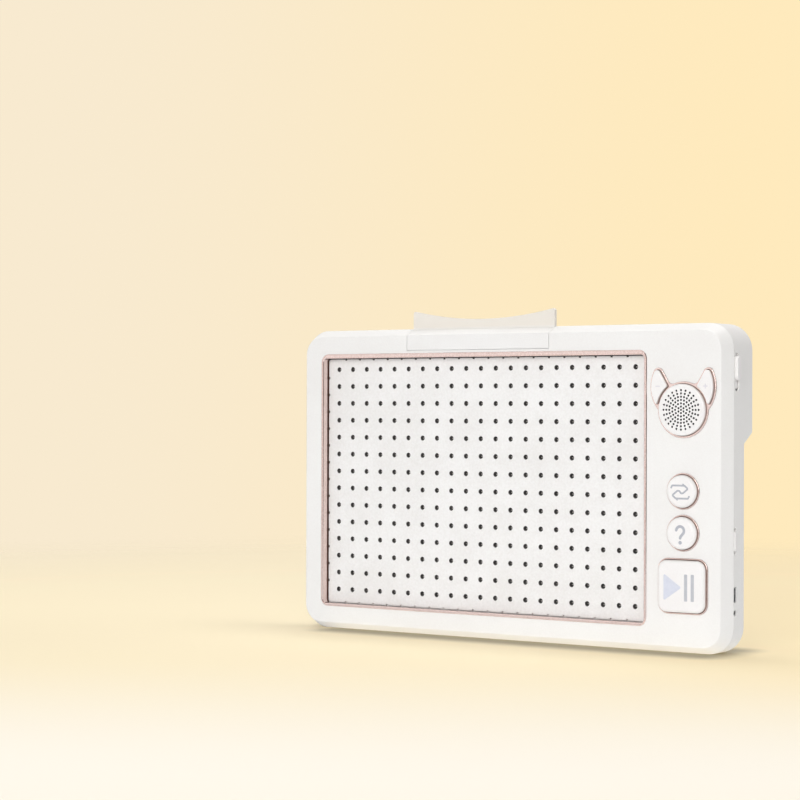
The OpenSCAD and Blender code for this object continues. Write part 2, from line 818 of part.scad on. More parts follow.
module speaker_grille() {
  y0 = -grille_proud;
  face = concat([[0, y0]], fillet([0, y0], [grille_r, y0], [grille_r, wall], 0.9),
    [[grille_r, wall], [grille_flange_r, wall], [grille_flange_r, grille_flange_y],
     [grille_r - gasket_w, grille_flange_y], [grille_r - gasket_w, y0 + grille_t], [0, y0 + grille_t]]);
  color(key_white) place() difference() {
    turned([strip_x, speaker_z], face);
    plate(y0 - over, wall) translate([strip_x, speaker_z]) {
      circle(d = sound_d);
      for (k = [1:sound_rings], i = [0:ring_holes(k) - 1])
        rotate(90 + i * 360 / ring_holes(k)) translate([k * sound_step, 0]) circle(d = sound_d);
    }
  }
}

module speaker_gasket() {
  color(black) place() plate(grille_flange_y, basket_y) translate([strip_x, speaker_z]) difference() {
    circle(r = basket_r);
    circle(r = basket_r - gasket_w + 0.2);
  }
}

module speaker_basket() {
  y1 = basket_y + basket_t;
  color(steel) place() turned([strip_x, speaker_z], [[basket_r, basket_y], [basket_r, y1],
    [basket_r - 1, y1], [basket_back_r, basket_back_y - 1], [basket_back_r, basket_back_y],
    [0, basket_back_y], [0, basket_back_y - basket_t], [basket_back_r - basket_t, basket_back_y - basket_t],
    [basket_r - 2, y1], [basket_r - 2, basket_y]]);
}

module speaker_cone() {
  y0 = basket_y + 0.3;
  cap_r = 4;
  cap_y = basket_y + 3.6;
  paper = 0.4;
  color(black) place() turned([strip_x, speaker_z], [[basket_r - 2.1, y0], [basket_r - 2.8, y0],
    [cap_r, cap_y - paper], [0, cap_y - 1.6], [0, basket_back_y - basket_t],
    [cap_r - 1, basket_back_y - basket_t],
    [cap_r - 1, cap_y + paper], [basket_r - 2.5, y0 + paper], [basket_r - 2.1, y0 + paper]]);
}

module speaker_magnet() {
  y1 = basket_back_y + magnet_t;
  color(steel) place() turned([strip_x, speaker_z], concat([[0, basket_back_y], [magnet_r, basket_back_y]],
    fillet([magnet_r, basket_back_y], [magnet_r, y1], [0, y1], 0.6), [[0, y1]]));
}

module key_ring(up) {
  soft = 0.25;
  y0 = -ring_proud;
  r0 = key_r + key_gap;
  color(rose) place() turned([strip_x, panel_z + up], [[r0 + soft, y0], [ring_r - soft, y0],
    [ring_r, y0 + soft], [ring_r, wall], [r0, wall], [r0, y0 + soft]]);
}

module repeat_ring() {
  key_ring(repeat_up);
}

module question_ring() {
  key_ring(question_up);
}

module play_ring() {
  soft = 0.25;
  y0 = -ring_proud;
  outer_r = play_r + key_gap + ring_w;
  color(rose) place() translate([strip_x, 0, panel_z + play_up]) difference() {
    slab(play_ring_out, play_ring_out, outer_r, [[soft, y0], [0, y0 + soft], [0, wall]]);
    slab(play_ring_in, play_ring_in, play_r + key_gap,
      [[-soft - over, y0 - over], [0, y0 + soft], [0, wall + over]]);
  }
}

// Stem behind a key, which reaches its switch's plunger
module key_stem(at) {
  post(at, key_flange_y + join, stem_y, stem_r);
}

module round_key(up) {
  at = [strip_x, panel_z + up];
  y0 = -key_proud;
  flange_r = key_r + key_flange_w;
  flange_back = key_flange_y + key_flange_t;
  color(key_white) place() {
    turned(at, concat([[0, y0]], fillet([0, y0], [key_r, y0], [key_r, wall], key_edge_r, key_edge_steps),
      [[key_r, key_flange_y], [flange_r, key_flange_y], [flange_r, flange_back], [0, flange_back]]));
    key_stem(at);
  }
}

module repeat_button() {
  round_key(repeat_up);
}

module question_button() {
  round_key(question_up);
}

module play_button() {
  at = [strip_x, panel_z + play_up];
  y0 = -key_proud;
  flange_w = play_w + 2 * key_flange_w;
  edge = concat(fillet([5, y0], [0, y0], [0, wall], key_edge_r, key_edge_steps), [[0, key_flange_y + join]]);
  color(key_white) place() {
    translate([at.x, 0, at.y]) slab(play_w, play_w, play_r, edge);
    plate(key_flange_y, key_flange_y + key_flange_t) translate(at)
      rrect(flange_w, flange_w, play_r + key_flange_w);
    key_stem(at);
  }
}

module volume_key(side) {
  color(key_white) place() {
    plate(-ear_proud, key_flange_y + join) at_ear(side) ear(0);
    plate(key_flange_y, key_flange_y + key_flange_t) at_ear(side) ear(ear_flange_w);
    key_stem([strip_x + side * ear_switch.x, speaker_z + ear_switch.y]);
  }
}

module volume_down_button() {
  volume_key(-1);
}

module volume_up_button() {
  volume_key(1);
}

module plunger(spot) {
  color(black) place() post(spot, stem_y, stem_y + plunger_len, plunger_r);
}

module repeat_plunger() {
  plunger(key_spots[0]);
}

module question_plunger() {
  plunger(key_spots[1]);
}

module play_plunger() {
  plunger(key_spots[2]);
}

module volume_down_plunger() {
  plunger(key_spots[3]);
}

module volume_up_plunger() {
  plunger(key_spots[4]);
}

module tact_switches() {
  color(steel) place() for (p = key_spots) difference() {
    plate(switch_y, board_y) translate(p) square(switch_w, center = true);
    post(p, switch_y - over, switch_y + switch_bore, plunger_r + plunger_gap);
  }
}

module main_board() {
  color(board_green) place() plate(board_y, board_back) difference() {
    translate([board_x0, board_z0]) square([board_x1 - board_x0, board_z1 - board_z0]);
    translate([strip_x, speaker_z]) circle(r = speaker_cut_r);
    for (p = board_holes) translate(p) circle(r = small_screw_r + 0.15);
  }
}

// Chip on the back of the main board
module chip(at, w, h, t) {
  color(black) place() plate(board_back, board_back + t) translate(at) square([w, h], center = true);
}

module main_chip() {
  chip([strip_x, panel_z - 14], 12, 12, 1.6);
}

module memory_chip() {
  chip([strip_x - 11, panel_z - 30], 6, 5, 1.6);
}

module sensor_connector() {
  z0 = ribbon_z - ribbon_w / 2 - 2;
  color(pale) place() difference() {
    box_between([sensor_plug_x1 - sensor_plug_w, sensor_back, z0],
      [sensor_plug_x1, sensor_back + plug_t, z0 + ribbon_w + 4]);
    ribbon_slot();
  }
}

module board_connector() {
  z0 = ribbon_z - ribbon_w / 2 - 2;
  color(pale) place() difference() {
    box_between([board_plug_x0, sensor_back, z0], [board_plug_x0 + board_plug_w, board_y, z0 + ribbon_w + 4]);
    ribbon_slot();
  }
}

// Ribbon, reaching into both connectors
module ribbon(gap) {
  reach = 2.5 + gap;
  box_between([sensor_plug_x1 - reach, ribbon_y - gap, ribbon_z - ribbon_w / 2 - gap],
    [board_plug_x0 + reach, ribbon_y + ribbon_t + gap, ribbon_z + ribbon_w / 2 + gap]);
}

module ribbon_slot() {
  ribbon(fit);
}

module ribbon_cable() {
  color(white) place() ribbon(0);
}

module usb_port() {
  x1 = side_x - usb_out;
  color(steel) place() difference() {
    bar(x1 - usb_len, x1) translate([usb_y, usb_z]) rrect(usb_h, usb_w, 0.6);
    bar(x1 - usb_len + usb_wall, x1 + over) translate([usb_y, usb_z])
      rrect(usb_h - 2 * usb_wall, usb_w - 2 * usb_wall, 0.4);
  }
}

module usb_tongue() {
  x0 = side_x - usb_out - usb_len + usb_wall;
  color(black) place() bar(x0, x0 + usb_len - 1.2) translate([usb_y, usb_z])
    square([0.6, 3.7], center = true);
}

module charge_led() {
  x1 = side_x - 0.2;
  color("#F2F4F6") place() translate([x1 - led_len, led_y, led_z]) rotate([0, 90, 0]) rotate_extrude()
    polygon(concat([[0, 0], [led_r, 0]], fillet([led_r, 0], [led_r, led_len], [0, led_len], led_r - 0.2),
      [[0, led_len]]));
}

// Slide switch on the main board, with a slot for a knob's stem that moves from low to high
module slide_switch(z, len, low, high) {
  color(steel) place() difference() {
    box_between([slide_x0, board_y - slide_t, z - len / 2], [slide_x1, board_y, z + len / 2]);
    box_between([slide_x1 - knob_stem_len, slide_y - stem_w / 2 - slide_gap, low - stem_len / 2 - slide_gap],
      [slide_x1 + over, slide_y + stem_w / 2 + slide_gap, high + stem_len / 2 + slide_gap]);
  }
}

module power_switch() {
  slide_switch(power_z - power_travel / 2, power_body_len, power_z - power_travel, power_z);
}

module mode_switch() {
  slide_switch(mode_z, mode_body_len, mode_z - mode_travel, mode_z + mode_travel);
}

// Knob in a side slot: a cap, a flange behind the wall and a stem into the switch
module slide_knob(y, z, w, len, proud, flange_w, flange_len) {
  cap = 0.4;
  x1 = side_x + proud;
  color(key_white) place() {
    bar(knob_flange_x + join, x1 - cap) translate([y, z]) rrect(w, len, w / 2 - fit);
    bar(x1 - cap - join, x1) translate([y, z]) rrect(w - 2 * cap, len - 2 * cap, w / 2 - cap - fit);
    bar(knob_flange_x, knob_flange_x + knob_flange_t) translate([y, z])
      square([flange_w, flange_len], center = true);
    bar(slide_x1 - knob_stem_len + slide_gap, knob_flange_x + join) translate([slide_y, z])
      square([stem_w, stem_len], center = true);
  }
}

module power_knob() {
  slide_knob(power_y, power_z, power_w, power_len, power_proud, power_flange_w, power_flange);
}

module mode_knob() {
  slide_knob(mode_y, mode_z, mode_w, mode_len, mode_proud, mode_flange_w, mode_flange);
}

module battery() {
  color(steel) place() translate([battery_x, battery_y1 - battery_t, battery_z])
    slab(battery_w, battery_h, 3, concat(fillet([5, 0], [0, 0], [0, 9], 2),
      fillet([0, 0], [0, battery_t], [5, battery_t], 2)));
}

module battery_tape() {
  color(pale) place() plate(battery_y1, battery_y1 + tape_t) translate([battery_x, battery_z])
    square([battery_w - 10, battery_h - 10], center = true);
}

module battery_socket() {
  color(pale) place() box_between([socket_x0, board_back, socket_z - socket_h / 2],
    [socket_x0 + socket_w, board_back + socket_t, socket_z + socket_h / 2]);
}

module battery_lead() {
  start = [battery_x + battery_w / 2, battery_y1 - battery_t / 2, battery_z + 10];
  finish = [socket_x0, board_back + socket_t / 2, socket_z];
  span = finish - start;
  route = [start, start + [4, 0, 0], start + [16, -1, -1], start + [0.35 * span.x, 0.35 * span.y, -3],
    start + [0.6 * span.x, 0.7 * span.y, -5], finish - [18, -2, 0], finish - [4, 0, 0], finish];
  color("#B23A32") place() for (s = [-1, 1]) wire([for (p = route) p + [0, 0, s * wire_gap / 2]], wire_r, 8);
}

module speaker_lead() {
  start = [strip_x, basket_back_y, speaker_z - magnet_r - 0.8];
  pad = [strip_x, board_back, speaker_z - speaker_cut_r - 5];
  route = [start, start + [0, 1.6, 0], start + [0, 4, -0.8], pad + [0, 2.8, 5.4], pad + [0, 2.4, 1.6],
    pad + [0, 1.2, 0], pad];
  color("#2C2C30") place() for (s = [-1, 1]) wire([for (p = route) p + [s * wire_gap / 2, 0, 0]], wire_r, 8);
}

// Side view of the clip: jaw, bevel and lever in one bent plate
module clip_profile() {
  skew = clip_t / bevel_run;
  rise = bevel_in / bevel_d;
  inner_z = body_h - bevel_in - skew * bevel_d - skew * bevel_in * rise;
  polygon([[0, jaw_z], [0, body_h - bevel_in], [lever_y, body_h - bevel_in + lever_y * rise],
    [lever_y, lever_top], [lever_y + clip_t, lever_top],
    [lever_y + clip_t, inner_z + (lever_y + clip_t) * rise], [clip_t, inner_z + clip_t * rise],
    [clip_t, jaw_z]]);
}

module page_clip() {
  arc_z = lever_top - lever_dip + lever_arc_r;
  knuckle = clip_w / 2 - barrel_in - barrel_len / 2;
  corner_x = clip_w / 2 - lever_corner_r;
  corner_z = arc_z - sqrt(pow(lever_arc_r + lever_corner_r, 2) - corner_x * corner_x);
  color(pale) place() translate([panel_x, 0, 0]) difference() {
    union() {
      bar(-clip_w / 2, clip_w / 2) clip_profile();
      for (s = [-1, 1]) translate([s * knuckle, 0, 0]) {
        translate([0, axis_y, axis_z]) rotate([0, 90, 0])
          cylinder(h = barrel_len, r = barrel_r, center = true);
        bar(-barrel_len / 2, barrel_len / 2) translate([axis_y - barrel_r, axis_z])
          square([barrel_r + lever_y + clip_t - axis_y, body_h - bevel_in / 2 - axis_z]);
      }
    }
    translate([0, 0, arc_z]) rotate([90, 0, 0]) cylinder(h = 60, r = lever_arc_r, center = true, $fn = 360);
    for (s = [-1, 1]) plate(lever_y - over, lever_y + clip_t + over)
      mirror([s < 0 ? 1 : 0, 0]) translate([corner_x, corner_z]) difference() {
        square(2 * lever_corner_r);
        circle(r = lever_corner_r + round_over);
      }
    translate([0, axis_y, axis_z]) rotate([0, 90, 0])
      cylinder(h = clip_w + over, r = pin_r + pin_gap, center = true);
  }
}

module clip_pin() {
  color(steel) place() translate([panel_x, axis_y, axis_z]) rotate([0, 90, 0])
    cylinder(h = pocket_w + 2 * pocket_wall - 0.4, r = pin_r, center = true);
}

// Wire of the clip's spring: a leg on the pocket's back wall, the curls, a leg behind the lever
function spring_path() =
  let (steps = spring_curls * curl_steps, x0 = panel_x - spring_len / 2)
  concat(
    [[x0, pocket_y - spring_wire_r, axis_z - 4], [x0, pocket_y - 2 * spring_wire_r, axis_z - 1.8]],
    [for (i = [0:steps])
      [x0 + spring_len * i / steps, axis_y + spring_r * cos(i * 360 / curl_steps),
       axis_z + spring_r * sin(i * 360 / curl_steps)]],
    [[x0 + spring_len, axis_y + 1.6, axis_z + 2.2],
     [x0 + spring_len, lever_y + clip_t + 1.2 * spring_wire_r, axis_z + 4.2]]);

// Least gap between two turns of the spring's wire, measured on its points
function spring_gap(p) = min([for (i = [0:len(p) - 1], j = [i + curl_steps / 2:1:len(p) - 1])
  norm(p[i] - p[j])]) - 2 * spring_wire_r;

module clip_spring() {
  path = spring_path();
  echo(least_spring_gap = spring_gap(path));
  color(steel) place() wire(path, spring_wire_r, 6);
}

// Pan-head screw from the back: its seat's depth, length, shank and head
module screw(at, seat, len, r, head_r, head_t) {
  top = seat + head_t;
  difference() {
    turned(at, concat([[0, seat - len], [r, seat - len], [r, seat], [head_r, seat]],
      fillet([head_r, seat], [head_r, top], [0, top], head_t / 2), [[0, top]]));
    plate(top - cross_d * head_t, top + over) translate(at) {
      square(head_r * [cross_len, cross_w], center = true);
      square(head_r * [cross_w, cross_len], center = true);
    }
  }
}

module shell_screws() {
  color(steel) place() for (p = shell_bosses)
    screw(p, boss_split + boss_land, boss_land + 7, screw_r, screw_head_r, screw_head_t);
}

module board_screws() {
  color(steel) place() for (p = board_holes)
    screw(p, board_back, board_t + 5, small_screw_r, small_head_r, small_head_t);
}

module panel_screws() {
  color(steel) place() for (p = panel_tabs)
    screw([panel_x, panel_z] + p, sensor_back, sensor_t + flange_t + 2.4,
      small_screw_r, small_head_r, small_head_t);
}

module rubber_feet() {
  color("#C9C7C4") place() for (p = foot_spots) {
    y0 = back_at(p.y) - foot_sink;
    y1 = y0 + foot_t;
    turned(p, concat([[0, y0], [foot_r, y0]], fillet([foot_r, y0], [foot_r, y1], [0, y1], 0.6), [[0, y1]]));
  }
}

front_shell();
rear_shell();
panel_frame();
touch_panel();
contact_studs();
sensor_board();
speaker_rim();
speaker_grille();
speaker_gasket();
speaker_basket();
speaker_cone();
speaker_magnet();
repeat_ring();
question_ring();
play_ring();
repeat_button();
question_button();
play_button();
volume_down_button();
volume_up_button();
repeat_plunger();
question_plunger();
play_plunger();
volume_down_plunger();
volume_up_plunger();
tact_switches();
main_board();
main_chip();
memory_chip();
sensor_connector();
board_connector();
ribbon_cable();
usb_port();
usb_tongue();
charge_led();
power_switch();
mode_switch();
power_knob();
mode_knob();
battery();
battery_tape();
battery_socket();
battery_lead();
speaker_lead();
page_clip();
clip_pin();
clip_spring();
shell_screws();
board_screws();
panel_screws();
rubber_feet();
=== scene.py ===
import json
import math

import bpy
from mathutils import Matrix, Vector


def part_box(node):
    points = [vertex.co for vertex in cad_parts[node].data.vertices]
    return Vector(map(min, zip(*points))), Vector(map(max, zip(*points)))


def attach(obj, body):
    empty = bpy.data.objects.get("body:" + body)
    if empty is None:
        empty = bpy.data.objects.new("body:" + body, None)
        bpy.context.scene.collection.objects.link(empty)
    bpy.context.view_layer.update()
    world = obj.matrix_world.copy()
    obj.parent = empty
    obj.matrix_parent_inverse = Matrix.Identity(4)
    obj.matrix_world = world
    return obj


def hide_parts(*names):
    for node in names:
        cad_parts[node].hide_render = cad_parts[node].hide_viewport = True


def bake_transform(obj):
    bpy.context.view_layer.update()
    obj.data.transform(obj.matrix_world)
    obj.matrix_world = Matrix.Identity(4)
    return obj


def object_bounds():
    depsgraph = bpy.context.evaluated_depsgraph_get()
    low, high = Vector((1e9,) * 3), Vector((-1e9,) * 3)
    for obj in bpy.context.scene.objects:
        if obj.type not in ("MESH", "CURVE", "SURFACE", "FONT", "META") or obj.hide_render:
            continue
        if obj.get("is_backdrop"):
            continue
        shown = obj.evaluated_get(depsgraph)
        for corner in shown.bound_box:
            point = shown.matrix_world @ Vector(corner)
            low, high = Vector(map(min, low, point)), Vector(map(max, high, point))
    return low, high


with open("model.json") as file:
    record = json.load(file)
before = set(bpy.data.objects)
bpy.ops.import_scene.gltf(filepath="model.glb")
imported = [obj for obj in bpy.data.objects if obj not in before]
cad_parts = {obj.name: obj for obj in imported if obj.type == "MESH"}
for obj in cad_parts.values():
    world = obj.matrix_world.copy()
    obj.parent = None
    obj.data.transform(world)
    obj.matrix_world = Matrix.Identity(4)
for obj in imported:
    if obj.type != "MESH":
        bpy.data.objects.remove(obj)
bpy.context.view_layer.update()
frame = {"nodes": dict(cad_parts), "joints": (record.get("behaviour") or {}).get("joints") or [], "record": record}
cad = frame["nodes"]
record = frame["record"]
body_of = {n: b for b, names in record["behaviour"]["bodies"].items() for n in names}
slot_of = {p["node"]: p["material_slot"] for p in record["subparts"]}
MM = 0.001
bpy.ops.object.select_all(action="DESELECT")


def srgb(code):
    """Linear colour, with alpha 1, of an sRGB hex value."""
    parts = [int(code[i:i + 2], 16) / 255 for i in (1, 3, 5)]
    return [c / 12.92 if c <= 0.04045 else ((c + 0.055) / 1.055) ** 2.4 for c in parts] + [1]


def add(tree, kind, inputs=None, **settings):
    """Adds a node, sets its own settings, and sets or links its inputs."""
    made = tree.nodes.new("ShaderNode" + kind)
    for name, value in settings.items():
        setattr(made, name, value)
    for name, value in (inputs or {}).items():
        if isinstance(value, bpy.types.NodeSocket):
            tree.links.new(value, made.inputs[name])
        else:
            made.inputs[name].default_value = value
    return made


# Settings that many nodes share
COLOURS = {"data_type": "RGBA"}
EASED = {"interpolation_type": "SMOOTHSTEP"}


def per_metre(size_mm):
    """Texture scale at which one feature is about this many millimetres."""
    return 1 / (size_mm * MM)


def new_material(name, **sockets):
    """A material with its tree, its shader and the Object coordinates."""
    material = bpy.data.materials.new(name)
    material.use_nodes = True
    tree = material.node_tree
    shader = tree.nodes["Principled BSDF"]
    for socket, value in sockets.items():
        shader.inputs[socket.replace("_", " ")].default_value = value
    return material, tree, shader, add(tree, "TexCoord").outputs["Object"]


def finish_skin(tree, shader, colour, gloss, bump):
    """Links a skin's colour, gloss and relief to its shader."""
    tree.links.new(colour.outputs[2], shader.inputs["Base Color"])
    tree.links.new(gloss.outputs[0], shader.inputs["Roughness"])
    tree.links.new(bump.outputs[0], shader.inputs["Normal"])


def moulded(name, tone, shade, drift_mm, grain_mm, relief_mm, rough, **sockets):
    """A moulded or pressed surface: two close tones in broad drifts, a fine grain in gloss and relief."""
    material, tree, shader, at = new_material(name, **sockets)
    drift = add(tree, "TexNoise", {"Vector": at, "Scale": per_metre(drift_mm), "Detail": 3.0})
    grain = add(tree, "TexNoise", {"Vector": at, "Scale": per_metre(grain_mm), "Detail": 2.0,
                                   "Roughness": 0.6})
    both = add(tree, "Math", {0: drift.outputs["Fac"], 1: grain.outputs["Fac"]}, operation="ADD")
    share = add(tree, "MapRange", {"Value": both.outputs[0], "From Min": 0.75, "From Max": 1.25})
    colour = add(tree, "Mix", {0: share.outputs[0], 6: srgb(shade), 7: srgb(tone)}, **COLOURS)
    gloss = add(tree, "MapRange", {"Value": grain.outputs["Fac"], "From Min": 0.3, "From Max": 0.7,
                                   "To Min": rough[0], "To Max": rough[1]})
    bump = add(tree, "Bump", {"Height": grain.outputs["Fac"], "Distance": relief_mm * MM})
    finish_skin(tree, shader, colour, gloss, bump)
    return material


SMUDGE_MM = 9


def plated(name, tone, shade, streak_mm, streak_axes, relief_mm, rough):
    """A metal or plated surface: polishing streaks, longer along some axes, in tone, gloss and relief."""
    material, tree, shader, at = new_material(name, Metallic=1.0)
    along = add(tree, "Mapping", {"Vector": at, "Scale": streak_axes})
    streak = add(tree, "TexNoise", {"Vector": along.outputs[0], "Scale": per_metre(streak_mm), "Detail": 3.0})
    smudge = add(tree, "TexNoise", {"Vector": at, "Scale": per_metre(SMUDGE_MM), "Detail": 2.0})
    share = add(tree, "MapRange", {"Value": streak.outputs["Fac"], "From Min": 0.35, "From Max": 0.65})
    colour = add(tree, "Mix", {0: share.outputs[0], 6: srgb(shade), 7: srgb(tone)}, **COLOURS)
    gloss = add(tree, "MapRange", {"Value": smudge.outputs["Fac"], "From Min": 0.3, "From Max": 0.7,
                                   "To Min": rough[0], "To Max": rough[1]})
    bump = add(tree, "Bump", {"Height": streak.outputs["Fac"], "Distance": relief_mm * MM})
    finish_skin(tree, shader, colour, gloss, bump)
    return material


def overlay(material, share, shade):
    """Lays another tone over a material's skin, by the share that a node gives."""
    tree = material.node_tree
    base = tree.nodes["Principled BSDF"].inputs["Base Color"]
    both = add(tree, "Mix", {0: share.outputs[0], 6: base.links[0].from_socket, 7: srgb(shade)}, **COLOURS)
    tree.links.new(both.outputs[2], base)


def goes_over(material, axis, from_m, to_m, shade):
    """Lets a skin go over to another tone along an axis."""
    tree = material.node_tree
    apart = add(tree, "SeparateXYZ", {0: tree.nodes["Texture Coordinate"].outputs["Object"]})
    share = add(tree, "MapRange", {"Value": apart.outputs[axis], "From Min": from_m, "From Max": to_m})
    overlay(material, share, shade)


# Depths below a perforated face at which the painted shade in its bores begins and is full
BORE_FROM, BORE_FULL = 0.05 * MM, 0.45 * MM


def paint_bore_shade(material, shade, face_m, centre_m, reach_mm, low_m, high_m):
    """Paints shade into the bores of a perforated face: a darker tone below the face, within a circle and a box.
    """
    tree = material.node_tree
    apart = add(tree, "SeparateXYZ", {0: tree.nodes["Texture Coordinate"].outputs["Object"]})
    below = add(tree, "MapRange", {"Value": apart.outputs["Y"], "From Min": face_m + BORE_FROM,
                                   "From Max": face_m + BORE_FULL})
    level = add(tree, "CombineXYZ", {"X": apart.outputs["X"], "Y": centre_m.y, "Z": apart.outputs["Z"]})
    out = add(tree, "VectorMath", {0: level.outputs[0], 1: centre_m}, operation="DISTANCE")
    inside = add(tree, "Math", {0: out.outputs["Value"], 1: reach_mm * MM}, operation="LESS_THAN")
    share = add(tree, "Math", {0: below.outputs[0], 1: inside.outputs[0]}, operation="MULTIPLY")
    middle, half = (low_m + high_m) / 2, (high_m - low_m) / 2
    for axis, i in (("X", 0), ("Z", 2)):
        between = add(tree, "Math", {0: apart.outputs[axis], 1: middle[i], 2: half[i]}, operation="COMPARE")
        share = add(tree, "Math", {0: share.outputs[0], 1: between.outputs[0]}, operation="MULTIPLY")
    overlay(material, share, shade)


# Moulded ABS from a spark-eroded mould: satin white, a soft broad highlight and a grain that only just shows.
# The real grain is about 0.1 mm; it is drawn at 0.7 mm so that it shows.
SHELL_ABS = moulded("moulded_abs_shell", "#F5F4F1", "#F1EFEC", 38, 0.7, 0.006, (0.36, 0.44))
# Painted shade, brown, on the ledge under the trim frame: a dull dark line round the panel.
LEDGE_PAINTED_SHADE = moulded("painted_shade_ledge", "#7A5348", "#6A443A", 6, 0.6, 0.006, (0.5, 0.6))
# The same ABS from a sanded mould: a dry, sandy white with pale specks and almost no highlight.
PANEL_ABS = moulded("sanded_abs_panel", "#F6F5F3", "#EEECE9", 24, 1.3, 0.024, (0.6, 0.75))
# Polished-mould ABS: a little whiter and glossier than the shell. The slide knobs are plain; the key caps and
# the grille get painted shade and a painted reflection of the plating low on their walls, beside the rings.
SATIN = ("#F8F6F4", "#F4F1EF", 20, 0.6, 0.004, (0.3, 0.38))
KEY_ABS = moulded("satin_abs_keys", *SATIN)
CAP_ABS = moulded("satin_abs_key_caps", *SATIN)
GRILLE_ABS = moulded("satin_abs_grille", *SATIN)
# Frosted ABS of the clip: duller than the shell, with a warm painted shade on the thin lever.
CLIP_ABS = moulded("frosted_abs_clip", "#F4F3F1", "#EFEDEA", 26, 0.6, 0.006, (0.42, 0.5))
# Rose-gold plated plastic: a pale pink metal, mirror bright with faint smudges. On the walls of the rings and
# of the speaker's rim the plating gets a brown painted shade, which draws a fine dark line at the shell.
ROSE = ("#EEDCD7", "#E6D1CB", 1.2, (1, 1, 1), 0.0008, (0.14, 0.24))
ROSE_GOLD = plated("rose_gold_plating", *ROSE)
RING_PLATING = plated("rose_gold_ring_plating", *ROSE)
# Tinned contact tips: dull grey metal with tiny pits.
TIN = plated("tinned_contact", "#A8A5A0", "#8E8B86", 0.4, (1, 1, 1), 0.004, (0.45, 0.6))
# Zinc-plated steel: grey, drawn streaks along the pressing.
ZINC = plated("zinc_plated_steel", "#C3C6CA", "#A4A8AD", 0.8, (0.15, 1, 1), 0.003, (0.3, 0.42))
# Drawn spring wire: darker steel with fine lengthwise streaks.
SPRING_WIRE = plated("drawn_spring_wire", "#A9ABAE", "#86898D", 0.3, (0.2, 1, 1), 0.002, (0.25, 0.35))
# Aluminium pouch foil: bright, softly wrinkled.
POUCH_FOIL = plated("aluminium_pouch_foil", "#CFD2D6", "#B9BDC2", 6.0, (1, 1, 1), 0.12, (0.28, 0.4))
# Solder mask over black glass-fibre board: near black, half gloss, with a faint weave.
BLACK_BOARD = moulded("black_solder_mask", "#1B1C1E", "#101113", 12, 0.9, 0.01, (0.35, 0.45))
# Green solder mask: deep green with drifts where copper lies underneath.
GREEN_BOARD = moulded("green_solder_mask", "#2C7148", "#1B5535", 3.5, 0.9, 0.01, (0.3, 0.4))
# Epoxy chip packages and black nylon: a dark grey grain.
BLACK_EPOXY = moulded("black_epoxy", "#26272A", "#17181A", 3, 0.4, 0.01, (0.5, 0.65))
# Natural nylon of plugs: warm ivory and slightly waxy.
IVORY_NYLON = moulded("natural_nylon", "#EEE8DA", "#E2DAC8", 5, 0.5, 0.006, (0.4, 0.5))
# Closed-cell foam: soft black cells.
FOAM = moulded("closed_cell_foam", "#2A2A2C", "#161617", 4, 0.8, 0.15, (0.85, 0.95))
# Pressed paper cone: black fibres.
CONE_PAPER = moulded("pressed_paper_cone", "#2B2A2A", "#191818", 3, 0.5, 0.03, (0.75, 0.9))
# Silicone rubber feet: grey, dry and faintly dusty.
SILICONE = moulded("silicone_rubber", "#C4C2BF", "#B2B0AD", 4, 0.5, 0.01, (0.6, 0.75))
# PVC insulation of the two pairs of wires.
RED_PVC = moulded("red_pvc", "#BE3B33", "#A32D27", 6, 0.5, 0.004, (0.35, 0.45))
BLACK_PVC = moulded("black_pvc", "#2C2C30", "#1D1D20", 6, 0.5, 0.004, (0.35, 0.45))
# Smoked epoxy lamp: a dark clear lens.
LAMP_EPOXY = moulded("smoked_epoxy_lamp", "#8C9096", "#7E8288", 3, 0.6, 0.001, (0.04, 0.08),
                     Transmission_Weight=0.85, IOR=1.52)
# Pad-printed ink: matt, laid thin with a slightly uneven cover, from pale lavender to grey.
INK_COVER = (2.5, 0.3, 0.003, (0.55, 0.65))
LAVENDER_INK = moulded("lavender_pad_print", "#DDE0EB", "#D4D7E4", *INK_COVER)
GREY_INK = moulded("grey_pad_print", "#C6C7CD", "#BBBCC3", *INK_COVER)
DARK_INK = moulded("dark_grey_pad_print", "#BCBDC5", "#B1B2BA", *INK_COVER)
FAINT_INK = moulded("faint_pad_print", "#E6E3E6", "#DEDBDF", *INK_COVER)

FINISH_OF_SLOT = {
    "shell_white": SHELL_ABS, "panel_white": PANEL_ABS, "rose_gold": ROSE_GOLD, "key_white": KEY_ABS,
    "clip_white": CLIP_ABS, "stud_pale": TIN, "black_board": BLACK_BOARD, "green_board": GREEN_BOARD,
    "black_plastic": BLACK_EPOXY, "pale_plastic": IVORY_NYLON, "foam": FOAM, "steel": ZINC,
    "cell_foil": POUCH_FOIL, "lamp": LAMP_EPOXY, "wire_red": RED_PVC, "wire_black": BLACK_PVC,
    "foot_rubber": SILICONE}
KEYS = ("repeat_button", "question_button", "play_button")
EARS = ("volume_down_button", "volume_up_button")
RINGS = ("speaker_rim", "repeat_ring", "question_ring", "play_ring")
# Nodes with another finish than their slot's
OWN_FINISH = {"speaker_grille": GRILLE_ABS, "speaker_cone": CONE_PAPER, "usb_tongue": IVORY_NYLON,
              **dict.fromkeys(KEYS + EARS, CAP_ABS), **dict.fromkeys(RINGS, RING_PLATING)}


def paint(obj, material):
    """Gives a piece one material all over."""
    obj.data.materials.clear()
    obj.data.materials.append(material)


for node, piece in cad.items():
    paint(piece, OWN_FINISH.get(node, FINISH_OF_SLOT[slot_of[node]]))
